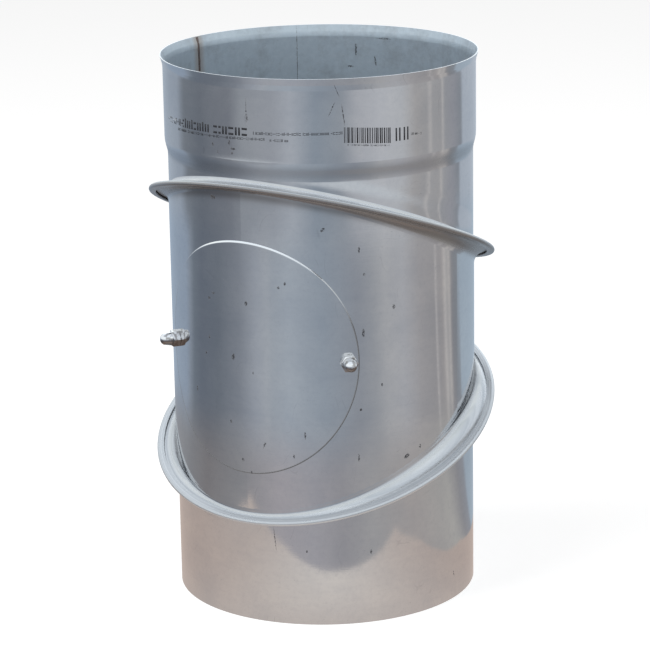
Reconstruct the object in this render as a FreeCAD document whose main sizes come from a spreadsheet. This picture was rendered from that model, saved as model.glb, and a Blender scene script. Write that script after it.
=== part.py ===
"""Stove pipe elbow with two swivel lock seams and a cleanout cover.

Three straight pipe segments meet in two seams, each tilted by the same angle.
The end segments carry a rolled hem that grips the plain flange of the middle
segment, so each seam turns about its own tilted axis and the pipe can be set
to any bend. It is drawn straight and upright: spigot end down, socket up.

Frame: origin at the centre of the spigot's edge, +Z up along the flue, the
cleanout cover on the -Y side. All lengths are in millimetres.
"""
import FreeCAD, Part
import math
import os

import Sketcher
from FreeCAD import Vector

SIZES = [
    ("wall", 0.8, "sheet thickness of the pipe segments"),
    ("middle_radius", 100.0, "outer radius of the middle segment"),
    ("spigot_step", 1.0, "how much smaller the lower segment's radius is"),
    ("upper_step", 0.5, "how much smaller the upper segment's radius is"),
    ("lower_seam_height", 112.0, "centre of the lower seam above the spigot's edge"),
    ("seam_spacing", 134.0, "centre of the lower seam to centre of the upper one"),
    ("seam_angle", 22.5, "tilt of each seam from level, in degrees"),
    ("seam_clearance", 0.3, "running gap between two facing flanges"),
    ("lip_gap", 0.7, "open slit between the lip and the middle flange"),
    ("lip_clearance", 1.15, "gap from the lip to the leaning wall at its nearest"),
    ("flange_width", 5.3, "how far the middle flanges pass the slanted wall"),
    ("end_bend", 3.0, "bend radius under the flanges of the end segments"),
    ("front_bend", 4.0, "middle flanges' bend radius on the cover's side"),
    ("side_bend", 10.2, "middle flanges' bend radius at left and right"),
    ("back_bend", 1.8, "middle flanges' bend radius behind"),
    ("neck_gap", 0.1, "seam's bend to the start of the neck, at the heel"),
    ("neck_height", 7.5, "height over which the socket widens"),
    ("neck_bend", 18.0, "bend radius at both ends of the neck"),
    ("socket_clearance", 1.6, "room round a spigot in the socket"),
    ("socket_depth", 55.45, "top of the neck to the mouth"),
    ("flare_height", 6.0, "height of the flared mouth"),
    ("flare_width", 1.8, "how far the mouth flares out"),
    ("flare_bend", 12.0, "bend radius where the mouth starts to flare"),
    ("cover_wall", 0.8, "sheet thickness of the cleanout cover"),
    ("cover_clearance", 0.05, "gap between the cover and the pipe"),
    ("cover_radius", 76.5, "radius of the cover's flat blank"),
    ("cover_drop", 2.5, "how far the cover's centre is below the middle"),
    ("cover_overlap", 18.5, "how far the cover passes the cleanout opening"),
    ("stud_inset", 7.3, "stud to the cover's edge"),
    ("stud_radius", 2.95, "radius of the stud's shank"),
    ("stud_hole_clearance", 0.35, "room round a stud in its holes"),
    ("stud_head_width", 3.05, "how far the stud's head passes its shank"),
    ("stud_head_height", 2.0, "thickness of the stud's head"),
    ("stud_clearance", 0.05, "gap round and past the stud, and behind its head"),
    ("nut_width", 10.0, "cap nut, across flats"),
    ("nut_hex_height", 5.0, "cap nut, height of the hexagon"),
    ("nut_face_trim", 0.25, "cap nut, flats to the face its trimmed corners leave"),
    ("nut_trim_angle", 30.0, "cap nut, slope of the trimmed corners, in degrees"),
    ("nut_dome_inset", 0.5, "cap nut, flats to the dome"),
    ("nut_neck_height", 1.0, "cap nut, upright start of the dome"),
    ("nut_dome_height", 4.4, "cap nut, height of the dome's tapered part"),
    ("nut_dome_taper", 0.9, "cap nut, how much the dome narrows to its tip"),
    ("nut_tip_height", 2.1, "cap nut, height of the rounded tip"),
    ("nut_roof", 3.0, "cap nut, metal above its blind bore"),
]

# How many points shape a wrapped circle, and how far a cutting piece runs
# past what it cuts.
OUTLINE_POINTS = 24
CUT_REACH = 60.0

TILT = "(Sizes.seam_angle * 1 deg)"
LOWER_RADIUS = "(Sizes.middle_radius - Sizes.spigot_step)"
UPPER_RADIUS = "(Sizes.middle_radius - Sizes.upper_step)"
SOCKET_RADIUS = "(%s + Sizes.socket_clearance + Sizes.wall)" % LOWER_RADIUS
UPPER_HEIGHT = "(Sizes.lower_seam_height + Sizes.seam_spacing)"
LOWER_SEAM = ("Sizes.lower_seam_height", "Sizes.seam_angle")
UPPER_SEAM = (UPPER_HEIGHT, "180 - Sizes.seam_angle")

# Heights over a seam's plane, towards the middle segment. The flange of an
# end segment takes the same heights below it.
FLANGE_NEAR = "(Sizes.seam_clearance / 2)"
FLANGE_FAR = "(%s + Sizes.wall)" % FLANGE_NEAR
LIP_NEAR = "(%s + Sizes.lip_gap)" % FLANGE_FAR
LIP_FAR = "(%s + Sizes.wall)" % LIP_NEAR

# Radii about a seam's axis. The slanted wall reaches furthest at heel and
# throat, and the lip clears it there.
SEAM_REACH = "(Sizes.middle_radius / cos(%s))" % TILT
FLANGE_RADIUS = "(%s + Sizes.flange_width)" % SEAM_REACH
LIP_RADIUS = "(%s + %s * tan(%s) + Sizes.lip_clearance)" % (SEAM_REACH, LIP_FAR, TILT)
FOLD_RADIUS = "((%s + %s) / 2)" % (LIP_FAR, FLANGE_FAR)
HEM_RADIUS = "(%s + %s)" % (FLANGE_RADIUS, FOLD_RADIUS)

# The neck starts above the upper seam's bend at the heel, where the seam is
# highest and its wall and flange meet at their sharpest angle. Its own bends
# reach past its two corners.
HEEL_BEND = "(Sizes.end_bend / tan((90 deg - %s) / 2))" % TILT
HEEL_TOP = "(%s + %s * tan(%s) + %s / cos(%s) + %s)" % (
    UPPER_HEIGHT, UPPER_RADIUS, TILT, FLANGE_FAR, TILT, HEEL_BEND)
NECK_STEP = "(%s - %s)" % (SOCKET_RADIUS, UPPER_RADIUS)
NECK_ROUND = "(Sizes.neck_bend * tan(atan(%s / Sizes.neck_height) / 2))" % NECK_STEP
NECK_BOTTOM = "(%s + Sizes.neck_gap + %s)" % (HEEL_TOP, NECK_ROUND)
NECK_TOP = "(%s + Sizes.neck_height)" % NECK_BOTTOM
TOTAL_HEIGHT = "(%s + Sizes.socket_depth)" % NECK_TOP

COVER_INNER = "(Sizes.middle_radius + Sizes.cover_clearance)"
COVER_OUTER = "(%s + Sizes.cover_wall)" % COVER_INNER
COVER_HEIGHT = "(Sizes.lower_seam_height + Sizes.seam_spacing / 2 - Sizes.cover_drop)"
HATCH_RADIUS = "(Sizes.cover_radius - Sizes.cover_overlap)"
STUD_ANGLE = "((Sizes.cover_radius - Sizes.stud_inset) / %s * 180 / pi)" % COVER_OUTER
STUD_HEAD_RADIUS = "(Sizes.stud_radius + Sizes.stud_head_width)"
NUT_DOME_RADIUS = "(Sizes.nut_width / 2 - Sizes.nut_dome_inset)"
NUT_TIP_RADIUS = "(%s - Sizes.nut_dome_taper)" % NUT_DOME_RADIUS
NUT_NECK_TOP = "(Sizes.nut_hex_height + Sizes.nut_neck_height)"
NUT_TIP = "(%s + Sizes.nut_dome_height)" % NUT_NECK_TOP
NUT_HEIGHT = "(%s + Sizes.nut_tip_height)" % NUT_TIP
NUT_BORE_DEPTH = "(%s - Sizes.nut_roof)" % NUT_HEIGHT
BELOW = "-%g" % CUT_REACH

doc = FreeCAD.newDocument("StovePipeElbow")
sheet = doc.addObject("Spreadsheet::Sheet", "Sizes")


def fill_sheet():
    for row, (name, size, note) in enumerate(SIZES, start=1):
        sheet.set("A%d" % row, name)
        sheet.set("B%d" % row, str(size))
        sheet.set("C%d" % row, note)
        sheet.setAlias("B%d" % row, name)
    doc.recompute()


def value(expression):
    return float(sheet.evalExpression(expression))


def add_body(name):
    body = doc.addObject("PartDesign::Body", name)
    body.Label = name
    return body


def add_sketch(body, name, plane, seam=None):
    """A sketch on one of the body's origin planes, or in a seam's own frame.

    In a seam's frame the sketch's upright axis is the seam's axis and points
    at the middle segment, so one profile serves both seams.
    """
    sketch = body.newObject("Sketcher::SketchObject", name)
    for feature in body.Origin.OriginFeatures:
        if feature.Role == plane:
            sketch.AttachmentSupport = [(feature, "")]
    sketch.MapMode = "FlatFace"
    if seam:
        height, angle = seam
        upright = FreeCAD.Rotation(Vector(0, 0, 1), value(angle))
        sketch.AttachmentOffset = FreeCAD.Placement(Vector(0, value(height), 0), upright)
        sketch.setExpression("AttachmentOffset.Base.y", height)
        sketch.setExpression("AttachmentOffset.Rotation.Angle", angle)
    return sketch


def pin_vertex(sketch, edge, end, point):
    """Hold one end of an edge at a place given by two expressions."""
    for kind, expression in zip(("DistanceX", "DistanceY"), point):
        index = sketch.addConstraint(
            Sketcher.Constraint(kind, -1, 1, edge, end, value(expression)))
        sketch.setExpression("Constraints[%d]" % index, expression)


def add_arc(sketch, start, middle, end):
    """Add an arc and return which of its ends is the start and which the end.

    A sketch keeps every arc anticlockwise, so a clockwise one is drawn from
    its other end.
    """
    clockwise = (middle - start).cross(end - middle).z < 0
    first, last = (end, start) if clockwise else (start, end)
    centre = Part.Circle(first, middle, last).Center
    out, back = first - centre, last - centre
    begin = math.atan2(out.y, out.x)
    finish = math.atan2(back.y, back.x)
    if finish < begin:
        finish += 2 * math.pi
    circle = Part.Circle(centre, Vector(0, 0, 1), out.Length)
    sketch.addGeometry(Part.ArcOfCircle(circle, begin, finish))
    return (2, 1) if clockwise else (1, 2)


def draw_outline(sketch, points, arcs=None):
    """A closed outline through points, each a pair of expressions.

    arcs maps the number of a side to the middle point of the arc that takes
    the line's place there, and to the place of its centre along one axis.
    """
    arcs = arcs or {}
    places = [Vector(value(x), value(y), 0) for x, y in points]
    count = len(points)
    ends = []
    for side, start in enumerate(places):
        end = places[(side + 1) % count]
        if side in arcs:
            middle = Vector(*[value(part) for part in arcs[side]["middle"]])
            ends.append(add_arc(sketch, start, middle, end))
        else:
            sketch.addGeometry(Part.LineSegment(start, end))
            ends.append((1, 2))
    for side in range(count):
        following = (side + 1) % count
        sketch.addConstraint(Sketcher.Constraint(
            "Coincident", side, ends[side][1], following, ends[following][0]))
    for side, point in enumerate(points):
        pin_vertex(sketch, side, ends[side][0], point)
    for side, arc in arcs.items():
        index = sketch.addConstraint(Sketcher.Constraint(
            arc["hold"], -1, 1, side, 3, value(arc["centre"])))
        sketch.setExpression("Constraints[%d]" % index, arc["centre"])


def turn_profile(body, sketch, name, kind="PartDesign::Revolution"):
    feature = body.newObject(kind, name)
    feature.Profile = sketch
    feature.ReferenceAxis = (sketch, ["V_Axis"])
    feature.Angle = 360
    doc.recompute()
    return feature


def turn_tube_side(body, name, points, kind="PartDesign::Revolution"):
    """Turn the area between the flue's axis and a line of points."""
    sketch = add_sketch(body, name + "_profile", "YZ_Plane")
    first, last = points[0], points[-1]
    draw_outline(sketch, [("0", first[1])] + points + [("0", last[1])])
    return turn_profile(body, sketch, name, kind)


def cut_past_seam(body, name, seam, middle=False):
    """Take away what lies on the far side of a seam.

    The frame's upright axis points at the middle segment, so the end segments
    lose the side above it and the middle segment the side below.
    """
    half = "(%s + %s) / 2" % (FLANGE_NEAR, FLANGE_FAR)
    near = half if middle else "-" + half
    far = "-" + TOTAL_HEIGHT if middle else TOTAL_HEIGHT
    reach = "(%s + %g)" % (HEM_RADIUS, CUT_REACH)
    sketch = add_sketch(body, name + "_profile", "YZ_Plane", seam)
    draw_outline(sketch, [("0", near), (reach, near), (reach, far), ("0", far)])
    return turn_profile(body, sketch, name, "PartDesign::Groove")


def add_hem(body, name, seam):
    """Flange, fold and lip of an end segment, as one turned sheet profile."""
    near, far = "-" + FLANGE_NEAR, "-" + FLANGE_FAR
    points = [("0", far), (FLANGE_RADIUS, far), (FLANGE_RADIUS, LIP_FAR),
              (LIP_RADIUS, LIP_FAR), (LIP_RADIUS, LIP_NEAR),
              (FLANGE_RADIUS, LIP_NEAR), (FLANGE_RADIUS, near), ("0", near)]
    level = "(%s - %s) / 2" % (LIP_FAR, FLANGE_FAR)
    fold = {
        1: {"middle": (HEM_RADIUS, level, "0"),
            "hold": "DistanceX", "centre": FLANGE_RADIUS},
        5: {"middle": (HEM_RADIUS + " - Sizes.wall", level, "0"),
            "hold": "DistanceX", "centre": FLANGE_RADIUS},
    }
    sketch = add_sketch(body, name + "_profile", "YZ_Plane", seam)
    draw_outline(sketch, points, fold)
    return turn_profile(body, sketch, name)


def add_disc(body, name, seam, radius, low, high):
    """A disc square to a seam's axis, between two heights over its plane."""
    sketch = add_sketch(body, name + "_profile", "YZ_Plane", seam)
    draw_outline(sketch, [("0", low), (radius, low), (radius, high), ("0", high)])
    return turn_profile(body, sketch, name)


def edges_where(shape, near):
    """Names of the edges whose points all pass a test."""
    names = []
    for number, edge in enumerate(shape.Edges, start=1):
        if not edge.Degenerated and all(near(point) for point in edge.discretize(9)):
            names.append("Edge%d" % number)
    return names


def seam_edges(shape, seam, radius, level):
    """Edges where a tube of this radius meets a flange's face."""
    height, angle = value(seam[0]), math.radians(value(seam[1]))
    axis = Vector(0, -math.sin(angle), math.cos(angle))
    origin = Vector(0, 0, height)

    def near(point):
        across = math.hypot(point.x, point.y) - radius
        along = (point - origin).dot(axis) - level
        return abs(across) < 1e-3 and abs(along) < 1e-3
    return edges_where(shape, near)


def level_edges(shape, radius, height):
    """Level round edges of this radius at this height."""
    def near(point):
        across = math.hypot(point.x, point.y) - radius
        return abs(across) < 1e-3 and abs(point.z - height) < 1e-3
    return edges_where(shape, near)


def round_edges(body, name, base, edges, radius):
    feature = body.newObject("PartDesign::Fillet", name)
    feature.Base = (base, edges)
    feature.Radius = value(radius)
    feature.setExpression("Radius", radius)
    doc.recompute()
    return feature


def bend_seam(body, name, base, seam, outer):
    """Bend an end segment's wall into its flange: outer radius, then the inner."""
    inner = "(%s - Sizes.wall)" % outer
    outside = seam_edges(base.Shape, seam, value(outer), -value(FLANGE_FAR))
    feature = round_edges(body, name + "_outer", base, outside, "Sizes.end_bend")
    inside = seam_edges(feature.Shape, seam, value(inner), -value(FLANGE_NEAR))
    return round_edges(body, name + "_inner", feature, inside, "Sizes.end_bend + Sizes.wall")


def lower_segment():
    body = add_body("lower_segment")
    top = "(Sizes.lower_seam_height + %s)" % LOWER_RADIUS
    inner = "(%s - Sizes.wall)" % LOWER_RADIUS
    turn_tube_side(body, "lower_outside", [(LOWER_RADIUS, "0"), (LOWER_RADIUS, top)])
    cut_past_seam(body, "lower_end_cut", LOWER_SEAM)
    add_hem(body, "lower_hem", LOWER_SEAM)
    bore = turn_tube_side(body, "lower_bore", [(inner, BELOW), (inner, top)],
                          "PartDesign::Groove")
    bend_seam(body, "lower_bend", bore, LOWER_SEAM, LOWER_RADIUS)
    return body


def in_quarters(name, body):
    """The same solid with its edges parted at the front, the sides and the back."""
    quarters = []
    for number in range(4):
        quarter = add_tube("%s_quarter_%d" % (name, number), "2 * " + HEM_RADIUS, TOTAL_HEIGHT)
        quarter.Angle = 90
        quarter.Placement.Rotation = FreeCAD.Rotation(Vector(0, 0, 1), 90 * number)
        piece = doc.addObject("Part::Common", "%s_part_%d" % (name, number))
        piece.Base = body
        piece.Tool = quarter
        quarters.append(piece)
    whole = doc.addObject("Part::MultiFuse", name + "_whole")
    whole.Shapes = quarters
    whole.Refine = False
    doc.recompute()
    return whole


def widening_bends(name, whole, radius, level, more):
    """Bend the wall into both flanges, with more added to each bend's radius.

    A flange is round in the slanted seam, but the wall is round across the
    flue, so the flange is widest at left and right. So is its bend.
    """
    shape = whole.Shape
    at_side, at_front, at_back = [
        value("Sizes.%s_bend + %s" % (word, more)) for word in ("side", "front", "back")]

    def bend_at(vertex):
        place = vertex.Point
        if abs(place.x) > abs(place.y):
            return at_side
        return at_front if place.y < 0 else at_back

    bends = []
    for seam in (LOWER_SEAM, UPPER_SEAM):
        for edge in seam_edges(shape, seam, value(radius), value(level)):
            line = shape.getElement(edge)
            ends = [bend_at(line.firstVertex(True)), bend_at(line.lastVertex(True))]
            bends.append((int(edge[4:]), ends[0], ends[1]))
    bent = doc.addObject("Part::Fillet", name + "_bends")
    bent.Base = whole
    bent.Edges = bends
    doc.recompute()
    return bent


def middle_outside():
    """The middle segment as if it were solid: a bar with two flanges."""
    body = add_body("middle_outside")
    top = "(%s + Sizes.middle_radius)" % UPPER_HEIGHT
    low = "(Sizes.lower_seam_height - Sizes.middle_radius)"
    turn_tube_side(body, "middle_bar", [("Sizes.middle_radius", low), ("Sizes.middle_radius", top)])
    for word, seam in (("lower", LOWER_SEAM), ("upper", UPPER_SEAM)):
        cut_past_seam(body, "middle_%s_cut" % word, seam, middle=True)
        add_disc(body, "middle_%s_flange" % word, seam, FLANGE_RADIUS, FLANGE_NEAR, FLANGE_FAR)
    whole = in_quarters("outside", body)
    return widening_bends("outside", whole, "Sizes.middle_radius", FLANGE_FAR, "0")


def middle_inside():
    """What the bar lacks: its bore, which opens wide below both flanges."""
    body = add_body("middle_inside")
    inner = "(Sizes.middle_radius - Sizes.wall)"
    top = "(%s + Sizes.middle_radius)" % UPPER_HEIGHT
    low = "(Sizes.lower_seam_height - Sizes.middle_radius)"
    turn_tube_side(body, "middle_bore", [(inner, low), (inner, top)])
    for word, seam in (("lower", LOWER_SEAM), ("upper", UPPER_SEAM)):
        add_disc(body, "middle_%s_opening" % word, seam, "1.1 * " + HEM_RADIUS,
                 "-" + FLANGE_FAR, FLANGE_NEAR)
    whole = in_quarters("inside", body)
    return widening_bends("inside", whole, inner, FLANGE_NEAR, "Sizes.wall")


def upper_segment():
    body = add_body("upper_segment")
    low = "(%s - %s)" % (UPPER_HEIGHT, UPPER_RADIUS)
    steps = [(UPPER_RADIUS, low), (UPPER_RADIUS, NECK_BOTTOM), (SOCKET_RADIUS, NECK_TOP),
             (SOCKET_RADIUS, "(%s - Sizes.flare_height)" % TOTAL_HEIGHT),
             ("(%s + Sizes.flare_width)" % SOCKET_RADIUS, TOTAL_HEIGHT)]
    inner_steps = [("(%s - Sizes.wall)" % radius, height) for radius, height in steps]
    turn_tube_side(body, "upper_outside", steps)
    cut_past_seam(body, "upper_end_cut", UPPER_SEAM)
    add_hem(body, "upper_hem", UPPER_SEAM)
    bore = turn_tube_side(body, "upper_bore", inner_steps, "PartDesign::Groove")
    shape = bend_seam(body, "upper_bend", bore, UPPER_SEAM, UPPER_RADIUS)
    bends = [("neck_low", 1, "Sizes.neck_bend"), ("neck_high", 2, "Sizes.neck_bend"),
             ("flare", 3, "Sizes.flare_bend")]
    for name, step, bend in bends:
        for side, line in (("outer", steps), ("inner", inner_steps)):
            radius, height = line[step]
            edges = level_edges(shape.Shape, value(radius), value(height))
            shape = round_edges(body, "%s_%s" % (name, side), shape, edges, bend)
    return body


def wrapped_punch(name, blank_radius):
    """A round blank laid on the pipe, as a punch that runs straight back.

    A circle cut in flat sheet stays a circle only along the wall once the
    sheet is rolled, so its width shrinks by the arc's sine.
    """
    roll = value(COVER_OUTER)
    blank = value(blank_radius)
    points = []
    for step in range(OUTLINE_POINTS):
        turn = 2 * math.pi * step / OUTLINE_POINTS
        across = roll * math.sin(blank * math.cos(turn) / roll)
        points.append(Vector(across, 0, blank * math.sin(turn)))
    curve = Part.BSplineCurve()
    curve.interpolate(Points=points, PeriodicFlag=True)
    outline = doc.addObject("Part::Feature", name + "_outline")
    outline.Shape = Part.Wire([curve.toShape()])
    outline.Placement.Base = Vector(0, 0, value(COVER_HEIGHT))
    punch = doc.addObject("Part::Extrusion", name + "_punch")
    punch.Base = outline
    punch.Dir = Vector(0, -1, 0)
    punch.Solid = True
    punch.LengthFwd = value(COVER_OUTER) + CUT_REACH
    punch.setExpression("LengthFwd", "%s + %g" % (COVER_OUTER, CUT_REACH))
    return punch


def add_tube(name, radius, length):
    tube = doc.addObject("Part::Cylinder", name)
    tube.setExpression("Radius", radius)
    tube.setExpression("Height", length)
    return tube


def stand_on_stud(thing, side, reach):
    """Turn a piece's upright axis to a stud's direction and set it out."""
    angle = "%d * %s" % (side, STUD_ANGLE)
    place = ("placement(vector(({r}) * sin({a} * 1 deg); -({r}) * cos({a} * 1 deg); "
             "{z}); rotation({a}; 0; 90))").format(r=reach, a=angle, z=COVER_HEIGHT)
    thing.setExpression("Placement", place)


def stud_holes(name):
    """Both stud holes, as pins to be cut away."""
    pins = []
    for side in (-1, 1):
        pin = add_tube("%s_%s" % (name, "left" if side < 0 else "right"),
                       "Sizes.stud_radius + Sizes.stud_hole_clearance", "%g" % (2 * CUT_REACH))
        stand_on_stud(pin, side, "Sizes.middle_radius - %g" % CUT_REACH)
        pins.append(pin)
    return pins


def cut(name, base, tools):
    joined = doc.addObject("Part::MultiFuse", name + "_tools")
    joined.Shapes = tools
    result = doc.addObject("Part::Cut", name)
    result.Label = name
    result.Base = base
    result.Tool = joined
    result.Refine = False
    return result


def middle_segment():
    """The middle tube with its cleanout opening and stud holes."""
    return cut("middle_segment", middle_outside(),
               [middle_inside(), wrapped_punch("hatch", HATCH_RADIUS)] + stud_holes("pipe_hole"))


def access_cover():
    """A round sheet rolled to the pipe's curve, wider than the opening."""
    outer = add_tube("cover_roll_outer", COVER_OUTER, TOTAL_HEIGHT)
    inner = add_tube("cover_roll_inner", COVER_INNER, TOTAL_HEIGHT)
    roll = doc.addObject("Part::Cut", "cover_roll")
    roll.Base = outer
    roll.Tool = inner
    blank = doc.addObject("Part::Common", "cover_blank")
    blank.Base = roll
    blank.Tool = wrapped_punch("cover", "Sizes.cover_radius")
    return cut("access_cover", blank, stud_holes("cover_hole"))


def stud(name, side):
    """A stud whose head lies against the pipe's inside."""
    head_face = ("sqrt(pow(Sizes.middle_radius - Sizes.wall; 2) "
                 "- pow(%s; 2)) - Sizes.stud_clearance") % STUD_HEAD_RADIUS
    start = "%s - Sizes.stud_head_height" % head_face
    head = add_tube(name + "_head", STUD_HEAD_RADIUS, "Sizes.stud_head_height")
    stand_on_stud(head, side, start)
    end = "%s + %s - Sizes.stud_clearance" % (COVER_OUTER, NUT_BORE_DEPTH)
    shank = add_tube(name + "_shank", "Sizes.stud_radius", "%s - (%s)" % (end, start))
    stand_on_stud(shank, side, start)
    whole = doc.addObject("Part::Fuse", name)
    whole.Label = name
    whole.Base = head
    whole.Tool = shank
    return whole


def cap_nut(name, side):
    """A hexagon cap nut that sits flat on the cover, flats level."""
    body = add_body(name)
    hexagon = add_sketch(body, name + "_hexagon", "XY_Plane")
    corner = "(Sizes.nut_width / sqrt(3))"
    half = "(Sizes.nut_width / 2)"
    draw_outline(hexagon, [(corner, "0"), (corner + " / 2", half),
                           ("-" + corner + " / 2", half), ("-" + corner, "0"),
                           ("-" + corner + " / 2", "-" + half), (corner + " / 2", "-" + half)])
    pad = body.newObject("PartDesign::Pad", name + "_pad")
    pad.Profile = hexagon
    pad.Length = value("Sizes.nut_hex_height")
    pad.setExpression("Length", "Sizes.nut_hex_height")
    doc.recompute()
    trim = add_sketch(body, name + "_trim_profile", "XZ_Plane")
    face = "(Sizes.nut_width / 2 - Sizes.nut_face_trim)"
    drop = "(Sizes.nut_width - %s) * tan(Sizes.nut_trim_angle * 1 deg)" % face
    draw_outline(trim, [(face, "Sizes.nut_hex_height"),
                        ("Sizes.nut_width", "Sizes.nut_hex_height"),
                        ("Sizes.nut_width", "Sizes.nut_hex_height - %s" % drop)])
    turn_profile(body, trim, name + "_trim", "PartDesign::Groove")
    dome = add_sketch(body, name + "_dome_profile", "XZ_Plane")
    sunk = half + " / 2"
    tip_round = ("((pow(%s; 2) + pow(Sizes.nut_tip_height; 2))"
                 " / (2 * Sizes.nut_tip_height))") % NUT_TIP_RADIUS
    centre = "(%s - %s)" % (NUT_HEIGHT, tip_round)
    rise = "sqrt(pow(%s; 2) - pow(%s / 2; 2))" % (tip_round, NUT_TIP_RADIUS)
    spot = (NUT_TIP_RADIUS + " / 2", "%s + %s" % (centre, rise), "0")
    draw_outline(dome, [("0", sunk), (NUT_DOME_RADIUS, sunk), (NUT_DOME_RADIUS, NUT_NECK_TOP),
                        (NUT_TIP_RADIUS, NUT_TIP), ("0", NUT_HEIGHT)],
                 {3: {"middle": spot, "hold": "DistanceY", "centre": centre}})
    shape = turn_profile(body, dome, name + "_dome")
    edges = level_edges(shape.Shape, value(NUT_TIP_RADIUS), value(NUT_TIP))
    shape = round_edges(body, name + "_tip_round", shape, edges, "Sizes.nut_tip_height / 2")
    bore = add_sketch(body, name + "_bore_profile", "XZ_Plane")
    bore_radius = "(Sizes.stud_radius + Sizes.stud_clearance)"
    draw_outline(bore, [("0", "0"), (bore_radius, "0"), (bore_radius, NUT_BORE_DEPTH),
                        ("0", NUT_BORE_DEPTH)])
    turn_profile(body, bore, name + "_bore", "PartDesign::Groove")
    stand_on_stud(body, side, COVER_OUTER)
    return body


def check(pieces):
    for thing in doc.Objects:
        state = [word for word in thing.State if word in ("Invalid", "Error")]
        if state:
            raise RuntimeError("%s: %s" % (thing.Name, ", ".join(state)))
    for piece in pieces:
        shape = piece.Shape
        if shape.isNull() or not shape.isValid() or not shape.Solids:
            raise RuntimeError("%s has no valid solid" % piece.Label)
        box = shape.BoundBox
        print("%-16s solids %d faces %3d volume %9.1f box %.1f %.1f %.1f to %.1f %.1f %.1f" % (
            piece.Label, len(shape.Solids), len(shape.Faces), shape.Volume,
            box.XMin, box.YMin, box.ZMin, box.XMax, box.YMax, box.ZMax))


fill_sheet()
pieces = [lower_segment(), middle_segment(), upper_segment(), access_cover()]
for side, word in ((-1, "left"), (1, "right")):
    pieces.append(stud(word + "_stud", side))
    pieces.append(cap_nut(word + "_cap_nut", side))
doc.recompute()
check(pieces)
os.makedirs("parts", exist_ok=True)
for piece in pieces:
    piece.Shape.exportStep("parts/%s.step" % piece.Label)
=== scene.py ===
"""Stove pipe elbow of stainless sheet: camera, stage, lights, materials and the
small pieces that the solids don't have. Everything is in metres, in the frame
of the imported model: +Z up along the flue, the round cover on the -Y side.
"""
import math

import bmesh
import bpy
from mathutils import Matrix, Vector


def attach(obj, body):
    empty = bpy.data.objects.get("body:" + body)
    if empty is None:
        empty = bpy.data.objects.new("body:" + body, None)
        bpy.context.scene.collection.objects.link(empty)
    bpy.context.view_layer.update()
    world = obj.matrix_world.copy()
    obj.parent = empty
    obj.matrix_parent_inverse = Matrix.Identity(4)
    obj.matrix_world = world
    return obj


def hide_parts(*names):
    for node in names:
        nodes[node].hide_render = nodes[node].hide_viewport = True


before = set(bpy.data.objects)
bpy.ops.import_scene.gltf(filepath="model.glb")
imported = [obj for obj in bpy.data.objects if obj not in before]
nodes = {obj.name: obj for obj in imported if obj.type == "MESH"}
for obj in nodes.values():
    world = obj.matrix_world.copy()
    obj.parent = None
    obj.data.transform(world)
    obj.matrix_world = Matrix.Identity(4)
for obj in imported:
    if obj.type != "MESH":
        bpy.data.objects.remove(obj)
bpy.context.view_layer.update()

# The photograph's view: the camera stands 30.5 degrees to the right of the
# cover's middle and looks down on the elbow by about 15 degrees.
VIEW_AZIMUTH = 30.5
CAMERA_PLACE = (0.91804, -1.55852, 0.6738)
CAMERA_PAN = 0.031
CAMERA_DIP = 15.456
CAMERA_ROLL = -0.962
CAMERA_LENS = 156.52
CAMERA_SENSOR = 36.0

# Sizes of the elbow that the small pieces are placed by, as in its source.
WALL = 0.0008
LOWER_RADIUS = 0.0990
MIDDLE_RADIUS = 0.1000
UPPER_RADIUS = 0.0995
SOCKET_RADIUS = 0.1014
LOWER_SEAM = 0.112
UPPER_SEAM = 0.246
SEAM_LEAN = math.radians(22.5)
SEAM_SLOPE = math.tan(SEAM_LEAN)
NECK_FOOT = 0.2928
NECK_MIDDLE = 0.2980
NECK_TOP = 0.3048
FLARE_FOOT = 0.3503
TOTAL_HEIGHT = 0.35803
COVER_HEIGHT = 0.1765
COVER_BLANK = 0.0765
COVER_FACE = 0.10085
COVER_BACK = 0.10005

# The long weld of each segment, at an angle round the flue from -Y towards +X.
# It ends short of the seams' hems and bends.
WELD_ANGLE = -96.7
WELD_WIDTH = 0.0027
WELD_RISE = 0.00028
WELD_ROW = 0.00045
WELD_STEPS = 8
HEM_REACH = 0.0048
BEND_REACH = 0.0112

# The middle segment's lower flange, as in the source: its bend widens towards the sides.
FLANGE_TOP = 0.00095
FLANGE_RADIUS = 0.1135
FRONT_BEND = 0.0040
SIDE_BEND = 0.0102
BACK_BEND = 0.0018
WIDENING = 1.10
BEND_STEPS = 14
# Its own piece lies this far over the solid's facets. It runs up the wall above
# the bend, much further at the back, and its last stretch sinks into the wall.
SKIN = 0.00008
FRONT_RUN = 0.0006
BACK_RUN = 0.0148
BACK_START = 105
BACK_EASE = 45
SINKING = 0.0025
SUNK = 0.0001

# The studio's floor and sky, and how far from the elbow its ground changes.
FLOOR_HALF = 6.0
GROUND_RADIUS = 4.0
SKY_RADIUS = 4.2
CLOSE_TO_NEAR = (0.38, 0.56)
NEAR_TO_FAR = (1.06, 1.26)
FAR_TO_HORIZON = (2.0, 3.2)
HORIZON = (0.74, 0.79, 0.84)


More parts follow.
